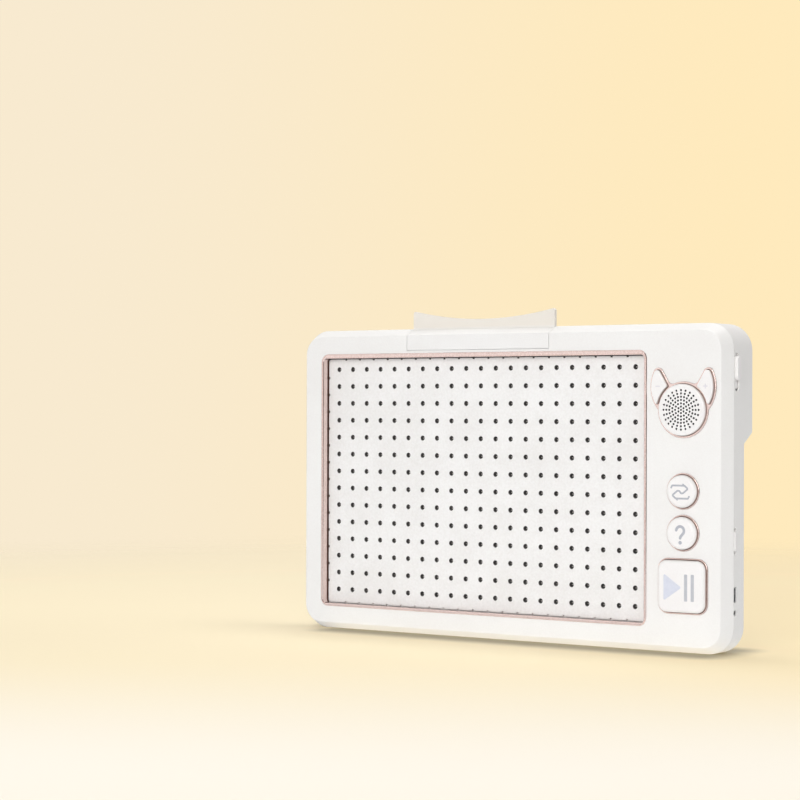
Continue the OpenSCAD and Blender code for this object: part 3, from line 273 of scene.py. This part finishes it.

# Painted shade, brown, in the gaps, by depth from the rings' faces: on the walls of the caps and the grille
# outside them, with a painted reflection of the plating; on the rings' own walls inside them
CAP_PAINTED_SHADE, RING_PAINTED_SHADE = (-0.9 * MM, -0.2 * MM), (0.1 * MM, 0.4 * MM)
ring_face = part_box("play_ring")[0].y
for finish in (CAP_ABS, GRILLE_ABS):
    goes_over(finish, "Y", ring_face + CAP_PAINTED_SHADE[0], ring_face + CAP_PAINTED_SHADE[1], "#C4AAA0")
goes_over(RING_PLATING, "Y", ring_face + RING_PAINTED_SHADE[0], ring_face + RING_PAINTED_SHADE[1], "#8F6C60")

# Painted shade in bores: within a circle on the grille; on the panel, not at the lower and the right edge
GRILLE_BORES_MM, WHOLE_PANEL_MM, PALE_EDGE = 11.6, 400, 3.4 * MM
low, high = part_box("speaker_grille")
paint_bore_shade(GRILLE_ABS, "#2E2D2C", low.y, (low + high) / 2, GRILLE_BORES_MM, low, high)
low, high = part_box("touch_panel")
trim_low, trim_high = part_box("panel_frame")
paint_bore_shade(PANEL_ABS, "#656361", low.y, (low + high) / 2, WHOLE_PANEL_MM,
           Vector((low.x, 0, trim_low.z + PALE_EDGE)), Vector((trim_high.x - PALE_EDGE, 0, high.z)))

# Painted shade, warm-tinted: the lever, above the shell's top, is darker and warmer than the clip's face
LEVER_EASE = 1 * MM
body_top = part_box("front_shell")[1].z
goes_over(CLIP_ABS, "Z", body_top - LEVER_EASE, body_top + LEVER_EASE, "#EDE7DD")

# Distances within which points are one, in metres: in a CAD mesh, after a bevel, in a converted curve
CAD_SEAM, BEVEL_SEAM, CURVE_SEAM = 1e-6, 2e-6, 1e-7
# Angles from which an edge is sharp, up to which faces are flat, and up to which shading is smooth
SHARP, FLAT, SMOOTH, WIRE_SMOOTH = (math.radians(a) for a in (30, 0.4, 34, 50))
FACE_TOL, LEDGE_TOL = 0.01 * MM, 0.1 * MM


def alone(obj):
    """Selects one object and makes it the active one."""
    bpy.ops.object.select_all(action="DESELECT")
    obj.select_set(True)
    bpy.context.view_layer.objects.active = obj


def apply_modifier(obj, kind, **settings):
    """Adds a modifier to an object and applies it."""
    alone(obj)
    made = obj.modifiers.new(kind.lower(), kind)
    for name, value in settings.items():
        setattr(made, name, value)
    bpy.ops.object.modifier_apply(modifier=made.name)


def select_sharp(obj, keep):
    """In edge mode, selects the sharp edges whose two ends both pass the test."""
    alone(obj)
    bpy.ops.object.mode_set(mode="EDIT")
    bpy.ops.mesh.select_mode(type="EDGE")
    bpy.ops.mesh.select_all(action="DESELECT")
    bpy.ops.mesh.edges_select_sharp(sharpness=SHARP)
    bpy.ops.object.mode_set(mode="OBJECT")
    points = obj.data.vertices
    for edge in obj.data.edges:
        edge.select = edge.select and all(keep(points[i].co) for i in edge.vertices)
    bpy.ops.object.mode_set(mode="EDIT")


def joined_copy(node, flatten):
    """A copy of a CAD node whose loose triangles are joined, and whose flat faces can be made whole."""
    obj = bpy.data.objects.new(node + "_moulding", cad[node].data.copy())
    bpy.context.scene.collection.objects.link(obj)
    alone(obj)
    bpy.ops.mesh.customdata_custom_splitnormals_clear()
    bpy.ops.object.mode_set(mode="EDIT")
    bpy.ops.mesh.select_mode(type="VERT")
    bpy.ops.mesh.select_all(action="SELECT")
    bpy.ops.mesh.remove_doubles(threshold=CAD_SEAM)
    if flatten:
        bpy.ops.mesh.dissolve_limited(angle_limit=FLAT)
    bpy.ops.object.mode_set(mode="OBJECT")
    return obj


def settle(obj, node):
    """Smooth shading with crisp corners, then the piece takes the place of its CAD node."""
    alone(obj)
    bpy.ops.object.shade_smooth_by_angle(angle=SMOOTH)
    apply_modifier(obj, "WEIGHTED_NORMAL", keep_sharp=True)
    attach(obj, body_of[node])
    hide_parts(node)
    return obj


def smoothed(node):
    """A copy of a CAD node with smooth shading."""
    return settle(joined_copy(node, flatten=False), node)


def softened(node, width_mm, steps, keep=lambda p: True):
    """A copy of a CAD node with its sharp edges rounded where the test passes."""
    obj = joined_copy(node, flatten=True)
    select_sharp(obj, keep)
    bpy.ops.mesh.bevel(offset=width_mm * MM, offset_type="OFFSET", segments=steps, affect="EDGES",
                       clamp_overlap=True)
    bpy.ops.mesh.select_all(action="SELECT")
    bpy.ops.mesh.remove_doubles(threshold=BEVEL_SEAM)
    bpy.ops.object.mode_set(mode="OBJECT")
    return settle(obj, node)


def on_front(node):
    """The test for points on a node's front face."""
    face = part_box(node)[0].y
    return lambda p: p.y < face + FACE_TOL


# Rounded edges: width in millimetres and steps
EAR_EDGE, RING_EDGE, CLIP_EDGE, KNOB_EDGE = (0.45, 4), (0.3, 3), (0.15, 3), (0.18, 2)
# The groove in the trim frame, in millimetres: the land beside it, the width of its slope, its depth
GROOVE_LAND, GROOVE_SLOPE, GROOVE_DEEP = 0.22, 0.1, 0.16
# The clip's edges stay as they are near its hinge
CLIP_HINGE = next(Vector(j["pos_m"]) for j in frame["joints"] if j["name"] == "clip_hinge")
HINGE_CLEAR = 3.4 * MM

# The front shell, with painted shade on the ledge behind the trim frame
shell = smoothed("front_shell")
shell.data.materials.append(LEDGE_PAINTED_SHADE)
for part in shell.data.polygons:
    deep = part.center.y > trim_high.y - LEDGE_TOL
    inside = all(trim_low[i] < part.center[i] < trim_high[i] for i in (0, 2))
    if deep and inside:
        part.material_index = 1
for node in ("rear_shell", "speaker_grille", *KEYS, "rubber_feet"):
    smoothed(node)
for node in EARS:
    softened(node, *EAR_EDGE, on_front(node))


def grooved_frame():
    """The trim frame with a fine groove along its land."""
    obj = joined_copy("panel_frame", flatten=False)
    in_front = on_front("panel_frame")
    bpy.ops.object.mode_set(mode="EDIT")
    bpy.ops.mesh.select_mode(type="FACE")
    bpy.ops.mesh.select_all(action="DESELECT")
    bpy.ops.object.mode_set(mode="OBJECT")
    for part in obj.data.polygons:
        part.select = part.normal.y < -0.99 and in_front(part.center)
    bpy.ops.object.mode_set(mode="EDIT")
    bpy.ops.mesh.inset(thickness=GROOVE_LAND * MM, depth=0)
    bpy.ops.mesh.inset(thickness=GROOVE_SLOPE * MM, depth=-GROOVE_DEEP * MM)
    bpy.ops.object.mode_set(mode="OBJECT")
    return settle(obj, "panel_frame")


grooved_frame()
for node in RINGS:
    softened(node, *RING_EDGE, on_front(node))
softened("page_clip", *CLIP_EDGE, lambda p: (p - CLIP_HINGE).yz.length > HINGE_CLEAR)
for node in ("power_knob", "mode_knob"):
    softened(node, *KNOB_EDGE)


def as_mesh(name, curve):
    """An object with the mesh of a curve."""
    obj = bpy.data.objects.new(name, curve)
    bpy.context.scene.collection.objects.link(obj)
    alone(obj)
    bpy.ops.object.convert(target="MESH")
    return bpy.context.object


def close_up():
    """Joins the seams of the active object's mesh and turns its faces outwards."""
    bpy.ops.object.mode_set(mode="EDIT")
    bpy.ops.mesh.select_all(action="SELECT")
    bpy.ops.mesh.remove_doubles(threshold=CURVE_SEAM)
    bpy.ops.mesh.normals_make_consistent(inside=False)
    bpy.ops.object.mode_set(mode="OBJECT")


def round_wire(name, strands, radius_mm, node, finish):
    """Round wire along routes in millimetres, with closed ends, in place of the faceted one."""
    curve = bpy.data.curves.new(name, "CURVE")
    curve.dimensions = "3D"
    curve.bevel_depth = radius_mm * MM
    curve.bevel_resolution = 3
    curve.resolution_u = 8
    curve.use_fill_caps = True
    for route in strands:
        spline = curve.splines.new("BEZIER")
        spline.bezier_points.add(len(route) - 1)
        for point, place in zip(spline.bezier_points, route):
            point.co = Vector(place) * MM
            point.handle_left_type = point.handle_right_type = "AUTO"
    obj = as_mesh(name, curve)
    close_up()
    bpy.ops.object.shade_smooth_by_angle(angle=WIRE_SMOOTH)
    paint(obj, finish)
    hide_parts(node)
    return obj


def pair_of(route, apart):
    """Two strands on either side of a route."""
    return [[tuple(Vector(p) + Vector(apart) * side) for p in route] for side in (-1, 1)]


# Leads inside the housing, along the routes of the part's source
LEAD_R, LEAD_APART, SPRING_WIRE_R = 0.55, 0.9, 0.35
CELL_ROUTE = [(-35.3, 10.6, 155.1), (-31.3, 10.6, 155.1), (-19.3, 9.6, 154.1), (11.09, 7.07, 152.1),
              (44.23, 3.53, 150.1), (79.25, 2.5, 150), (93.25, 0.5, 150), (97.25, 0.5, 150)]
SPEAKER_ROUTE = [(114.35, -4.9, 122.43), (114.35, -3.3, 122.43), (114.35, -0.9, 121.63),
                 (114.35, 1.3, 118.43), (114.35, 0.9, 114.63), (114.35, -0.3, 113.03), (114.35, -1.5, 113.03)]
cell_wires = round_wire("cell_wires", pair_of(CELL_ROUTE, (0, 0, LEAD_APART)), LEAD_R,
                        "battery_lead", RED_PVC)
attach(cell_wires, body_of["battery_lead"])
speaker_wires = round_wire("speaker_wires", pair_of(SPEAKER_ROUTE, (LEAD_APART, 0, 0)), LEAD_R,
                           "speaker_lead", BLACK_PVC)
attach(speaker_wires, body_of["speaker_lead"])

# Torsion spring of the clip: one leg on the housing, six curls round the pin, one leg behind the lever
CURLS, CURL_STEPS, CURL_R, SPRING_LONG = 6, 16, 2.0, 8.0
pin = CLIP_HINGE / MM
near_x, far_x = pin.x - SPRING_LONG / 2, pin.x + SPRING_LONG / 2
coil = []
for i in range(CURLS * CURL_STEPS + 1):
    turn = 2 * math.pi * i / CURL_STEPS
    x = near_x + SPRING_LONG * i / (CURLS * CURL_STEPS)
    coil.append((x, pin.y + CURL_R * math.cos(turn), pin.z + CURL_R * math.sin(turn)))
near_leg = [(near_x, pin.y + 2.85, pin.z - 4), (near_x, pin.y + 2.5, pin.z - 1.8)]
far_leg = [(far_x, pin.y + 1.6, pin.z + 2.2), (far_x, pin.y + 0.82, pin.z + 4.2)]
spring = round_wire("wound_spring", [near_leg + coil + far_leg], SPRING_WIRE_R, "clip_spring", SPRING_WIRE)
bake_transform(spring)


def rounded(points, radius, steps=5, closed=True):
    """Outline, or an open line, with every corner rounded."""
    made = []
    for i, corner in enumerate(points):
        if not closed and i in (0, len(points) - 1):
            made.append(tuple(corner))
            continue
        here = Vector(corner)
        to_last = (Vector(points[i - 1]) - here).normalized()
        to_next = (Vector(points[(i + 1) % len(points)]) - here).normalized()
        half = to_last.angle(to_next) / 2
        middle = here + (to_last + to_next).normalized() * radius / math.sin(half)
        start = here + to_last * radius / math.tan(half) - middle
        finish = here + to_next * radius / math.tan(half) - middle
        for k in range(steps + 1):
            made.append(tuple(middle + start.slerp(finish, k / steps).normalized() * radius))
    return made


def stroke(path, width, steps=6):
    """Outline of a line of even width along a path, with round ends."""
    points = [Vector(p) for p in path]
    left, right = [], []
    for i, p in enumerate(points):
        way = (points[min(i + 1, len(points) - 1)] - points[max(i - 1, 0)]).normalized()
        side = Vector((-way.y, way.x)) * width / 2
        left.append(p + side)
        right.append(p - side)

    def cap(centre, start):
        return [centre + Matrix.Rotation(-math.pi * k / steps, 2) @ start for k in range(1, steps)]

    return [tuple(p) for p in left + cap(points[-1], left[-1] - points[-1])
            + right[::-1] + cap(points[0], right[0] - points[0])]


def arc(centre, radius, first, last, steps):
    """Points along an arc between two angles in degrees."""
    angles = [math.radians(first + (last - first) * k / steps) for k in range(steps + 1)]
    return [(centre[0] + radius * math.cos(a), centre[1] + radius * math.sin(a)) for a in angles]


def half_turned(points):
    """The same points, turned by 180 degrees."""
    return [(-x, -z) for x, z in points]


INK = 0.04 * MM


def printed_sign(name, outlines, key, offset, ink, about=None):
    """A sign printed on a key's face: outlines in millimetres about the middle of the key or another node."""
    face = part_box(key)[0].y
    low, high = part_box(about or key)
    curve = bpy.data.curves.new(name, "CURVE")
    curve.dimensions = "2D"
    curve.fill_mode = "BOTH"
    curve.extrude = INK / 2
    for outline in outlines:
        spline = curve.splines.new("POLY")
        spline.points.add(len(outline) - 1)
        for point, (x, z) in zip(spline.points, outline):
            point.co = ((x + offset[0]) * MM, (z + offset[1]) * MM, 0, 1)
        spline.use_cyclic_u = True
    obj = as_mesh(name, curve)
    obj.rotation_euler = (math.pi / 2, 0, 0)
    obj.location = ((low.x + high.x) / 2, face - INK / 2, (low.z + high.z) / 2)
    bpy.ops.object.transform_apply(location=True, rotation=True, scale=True)
    close_up()
    paint(obj, ink)
    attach(obj, body_of[key])
    return obj


# Play and pause on the square key, a question mark and a pair of arrows on the round ones
PLAY_SHIFT = (-0.8, -0.5)
triangle = rounded([(-9.05, 7.35), (1.67, 0), (-9.05, -7.35)], 0.7)
bars = [rounded([(x0, 7.15), (x1, 7.15), (x1, -7.15), (x0, -7.15)], 0.35)
        for x0, x1 in ((3.32, 5.17), (7.25, 9.1))]
printed_sign("play_sign", [triangle], "play_button", PLAY_SHIFT, LAVENDER_INK)
printed_sign("pause_sign", bars, "play_button", PLAY_SHIFT, GREY_INK)

HOOK_WIDE, LOOP_WIDE, LOOP_CORNER = 1.5, 0.95, 0.55
hook = arc((0, 2.1), 2.3, 172, -38, 16) + [(0.95, -0.25), (0.3, -1.0), (0.05, -1.8)]
dot = arc((0.05, -4.2), 1.0, 0, 345, 23)
printed_sign("question_sign", [stroke(hook, HOOK_WIDE), dot], "question_button", (0.05, -0.7), DARK_INK)

half_loop = [(-5.3, 2.3), (-4.75, 3.45), (2.6, 3.45), (4.65, 1.75), (1.65, -0.65), (0.5, -0.65)]
loop = rounded(half_loop + half_turned(half_loop[::-1]), LOOP_CORNER, closed=False)
barb = [(1.3, 3.96), (1.3, 4.4), (1.85, 4.55), (2.55, 3.96)]
printed_sign("repeat_sign", [stroke(loop, LOOP_WIDE), barb, half_turned(barb)], "repeat_button", (0, -0.3),
             DARK_INK)

# Minus and plus on the ears, faint, set out from the middle of the grille
LONG, THIN, EAR_OUT, EAR_UP = 1.3, 0.3, 14.2, 12.6
flat_bar = [(-LONG, THIN), (LONG, THIN), (LONG, -THIN), (-LONG, -THIN)]
half_cross = [(-LONG, THIN), (-THIN, THIN), (-THIN, LONG), (THIN, LONG), (THIN, THIN), (LONG, THIN)]
cross = half_cross + half_turned(half_cross)
printed_sign("minus_sign", [flat_bar], "volume_down_button", (-EAR_OUT, EAR_UP), FAINT_INK, "speaker_grille")
printed_sign("plus_sign", [cross], "volume_up_button", (EAR_OUT, EAR_UP), FAINT_INK, "speaker_grille")

# Camera at the photograph's place: 35 degrees round to the right, level with the console
CAMERA_AT = (0.68104, -1.08546, 0.12955)
TURN, TILT, ROLL = (math.radians(a) for a in (35.035, 90.251, 0.17))
lens = bpy.data.cameras.new("camera")
lens.lens, lens.sensor_width = 101.6, 36
lens.clip_start, lens.clip_end = 0.05, 50
camera = bpy.data.objects.new("camera", lens)
camera.matrix_world = (Matrix.Translation(CAMERA_AT) @ Matrix.Rotation(TURN, 4, "Z")
                       @ Matrix.Rotation(TILT, 4, "X") @ Matrix.Rotation(ROLL, 4, "Z"))
bpy.context.scene.collection.objects.link(camera)
bpy.context.scene.camera = camera

# Floor: straw paper that warms to the right, pales towards the camera, has a painted shadow where the console
# stands and fades into the backdrop; it sends back plain pale light. Distances are in metres.
STRAW, WARM_STRAW, PALE_STRAW, SHADED_STRAW, PLAIN = "#FCEDC9", "#FDE9BC", "#FEF7E9", "#B0A68D", "#F2F2F3"
TO_CAMERA, TO_RIGHT = (0.53, -0.85, 0), (0.82, 0.57, 0)
FOOT_MIDDLE, FOOT_HALF = (0.008, 0, 0), (0.12, 0.018, 0)
bpy.ops.mesh.primitive_circle_add(vertices=96, radius=4, fill_type="NGON")
floor = bpy.context.object
floor.name = "floor"
paper, tree, shader, at = new_material("straw_paper_floor", Roughness=0.9)
seen = add(tree, "LightPath").outputs["Is Camera Ray"]
near = add(tree, "VectorMath", {0: at, 1: TO_CAMERA}, operation="DOT_PRODUCT").outputs["Value"]
across = add(tree, "VectorMath", {0: at, 1: TO_RIGHT}, operation="DOT_PRODUCT").outputs["Value"]
away = add(tree, "VectorMath", {0: at}, operation="LENGTH").outputs["Value"]
# Distance from the console's foot
plan = add(tree, "VectorMath", {0: at, 1: FOOT_MIDDLE}, operation="SUBTRACT")
plan = add(tree, "VectorMath", {0: plan.outputs[0]}, operation="ABSOLUTE")
plan = add(tree, "VectorMath", {0: plan.outputs[0], 1: FOOT_HALF}, operation="SUBTRACT")
plan = add(tree, "VectorMath", {0: plan.outputs[0], 1: (0, 0, 0)}, operation="MAXIMUM")
beside = add(tree, "VectorMath", {0: plan.outputs[0]}, operation="LENGTH").outputs["Value"]
# Tones
warming = add(tree, "MapRange", {"Value": across, "From Min": -0.02, "From Max": 0.2}, **EASED)
paling = add(tree, "MapRange", {"Value": near, "From Min": 0.1, "From Max": 0.5}, **EASED)
# Painted shadow: darker within 22 mm of the console's foot, for the camera
contact = add(tree, "MapRange", {"Value": beside, "From Min": 0, "From Max": 0.022,
                                 "To Min": 1, "To Max": 0}, **EASED)
warm = add(tree, "Mix", {0: warming.outputs[0], 6: srgb(STRAW), 7: srgb(WARM_STRAW)}, **COLOURS)
straw = add(tree, "Mix", {0: paling.outputs[0], 6: warm.outputs[2], 7: srgb(PALE_STRAW)}, **COLOURS)
shadowed_straw = add(tree, "Mix", {0: contact.outputs[0], 6: straw.outputs[2], 7: srgb(SHADED_STRAW)}, **COLOURS)
sheet = add(tree, "Mix", {0: seen, 6: srgb(PLAIN), 7: shadowed_straw.outputs[2]}, **COLOURS)
# A little light of its own: for the camera, most behind the console, and for the console close to its foot
lift = add(tree, "MapRange", {"Value": near, "From Min": -0.2, "From Max": 0.05,
                              "To Min": 0.11, "To Max": 0.055}, **EASED)
clear_of = add(tree, "MapRange", {"Value": beside, "From Min": 0, "From Max": 0.06}, **EASED)
lift = add(tree, "Math", {0: lift.outputs[0], 1: clear_of.outputs[0]}, operation="MULTIPLY")
bounce = add(tree, "MapRange", {"Value": beside, "From Min": 0, "From Max": 0.025,
                                "To Min": 0.28, "To Max": 0}, **EASED)
glow = add(tree, "Mix", {0: seen, 2: bounce.outputs[0], 3: lift.outputs[0]})
tree.links.new(sheet.outputs[2], shader.inputs["Base Color"])
tree.links.new(straw.outputs[2], shader.inputs["Emission Color"])
tree.links.new(glow.outputs[0], shader.inputs["Emission Strength"])
fade = add(tree, "MapRange", {"Value": away, "From Min": 0.45, "From Max": 1.1}, **EASED)
clear = add(tree, "BsdfTransparent")
mixed = add(tree, "MixShader", {0: fade.outputs[0], 1: shader.outputs[0], 2: clear.outputs[0]})
tree.links.new(mixed.outputs[0], tree.nodes["Material Output"].inputs["Surface"])
paint(floor, paper)
floor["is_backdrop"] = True

# World: even soft light, with the backdrop where it is seen and a plain pale room where it is mirrored
LEFT_BACKDROP, RIGHT_BACKDROP, ROOM, DAYLIGHT = "#F8EAD0", "#FFEABD", "#EFE6E3", "#FDFEFF"
world = bpy.data.worlds.new("studio")
world.use_nodes = True
bpy.context.scene.world = world
tree = world.node_tree
path = add(tree, "LightPath")
looked_at = add(tree, "Math", {0: path.outputs["Is Camera Ray"], 1: path.outputs["Is Transmission Ray"]},
                operation="MAXIMUM")
soft = add(tree, "Background", {"Color": srgb(DAYLIGHT), "Strength": 0.49})
room = add(tree, "Background", {"Color": srgb(ROOM), "Strength": 1.0})
unseen = add(tree, "MixShader", {0: path.outputs["Is Glossy Ray"], 1: soft.outputs[0], 2: room.outputs[0]})
way = add(tree, "TexCoord").outputs["Generated"]
sideways = add(tree, "VectorMath", {0: way, 1: TO_RIGHT}, operation="DOT_PRODUCT").outputs["Value"]
drift = add(tree, "MapRange", {"Value": sideways, "From Min": -0.17, "From Max": 0.17}, **EASED)
backdrop = add(tree, "Mix", {0: drift.outputs[0], 6: srgb(LEFT_BACKDROP), 7: srgb(RIGHT_BACKDROP)}, **COLOURS)
shown = add(tree, "Background", {"Color": backdrop.outputs[2], "Strength": 1.0})
both = add(tree, "MixShader", {0: looked_at.outputs[0], 1: unseen.outputs[0], 2: shown.outputs[0]})
tree.links.new(both.outputs[0], tree.nodes["World Output"].inputs["Surface"])

LAMP_AIM, LAMP_TINT = Vector((0, 0, 0.09)), "#FFFEFD"


def soft_box(name, at, width, height, watts):
    """A large soft lamp that faces the console."""
    light = bpy.data.lights.new(name, "AREA")
    light.shape = "RECTANGLE"
    light.size, light.size_y = width, height
    light.energy = watts
    light.color = srgb(LAMP_TINT)[:3]
    lamp = bpy.data.objects.new(name, light)
    lamp.location = at
    lamp.rotation_euler = (LAMP_AIM - Vector(at)).to_track_quat("-Z", "Y").to_euler()
    bpy.context.scene.collection.objects.link(lamp)


soft_box("key_light", (0.78, -1.95, 0.75), 1.4, 1.2, 22)
soft_box("top_light", (0, 0.3, 1.7), 1.4, 0.6, 9.4)

CARD_SUNK = 0.1


def studio_card(name, x, long, tall, tint):
    """A tall card at one side that only mirrors show."""
    bpy.ops.mesh.primitive_plane_add(size=1)
    card = bpy.context.object
    card.name = name
    card.scale = (long, tall, 1)
    card.rotation_euler = (math.pi / 2, 0, math.pi / 2)
    card.location = (x, 0, tall / 2 - CARD_SUNK)
    bpy.ops.object.transform_apply(location=True, rotation=True, scale=True)
    card.visible_camera = card.visible_diffuse = card.visible_shadow = card.visible_transmission = False
    paint(card, new_material(name, Base_Color=srgb("#000000"), Emission_Color=srgb(tint),
                             Emission_Strength=1.0)[0])
    card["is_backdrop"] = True


studio_card("white_card", -1.6, 14, 5, "#FBF7F5")
studio_card("brown_card", 1.25, 6.4, 2.6, "#57463F")

bpy.context.scene.view_settings.view_transform = "Standard"

low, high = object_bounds()
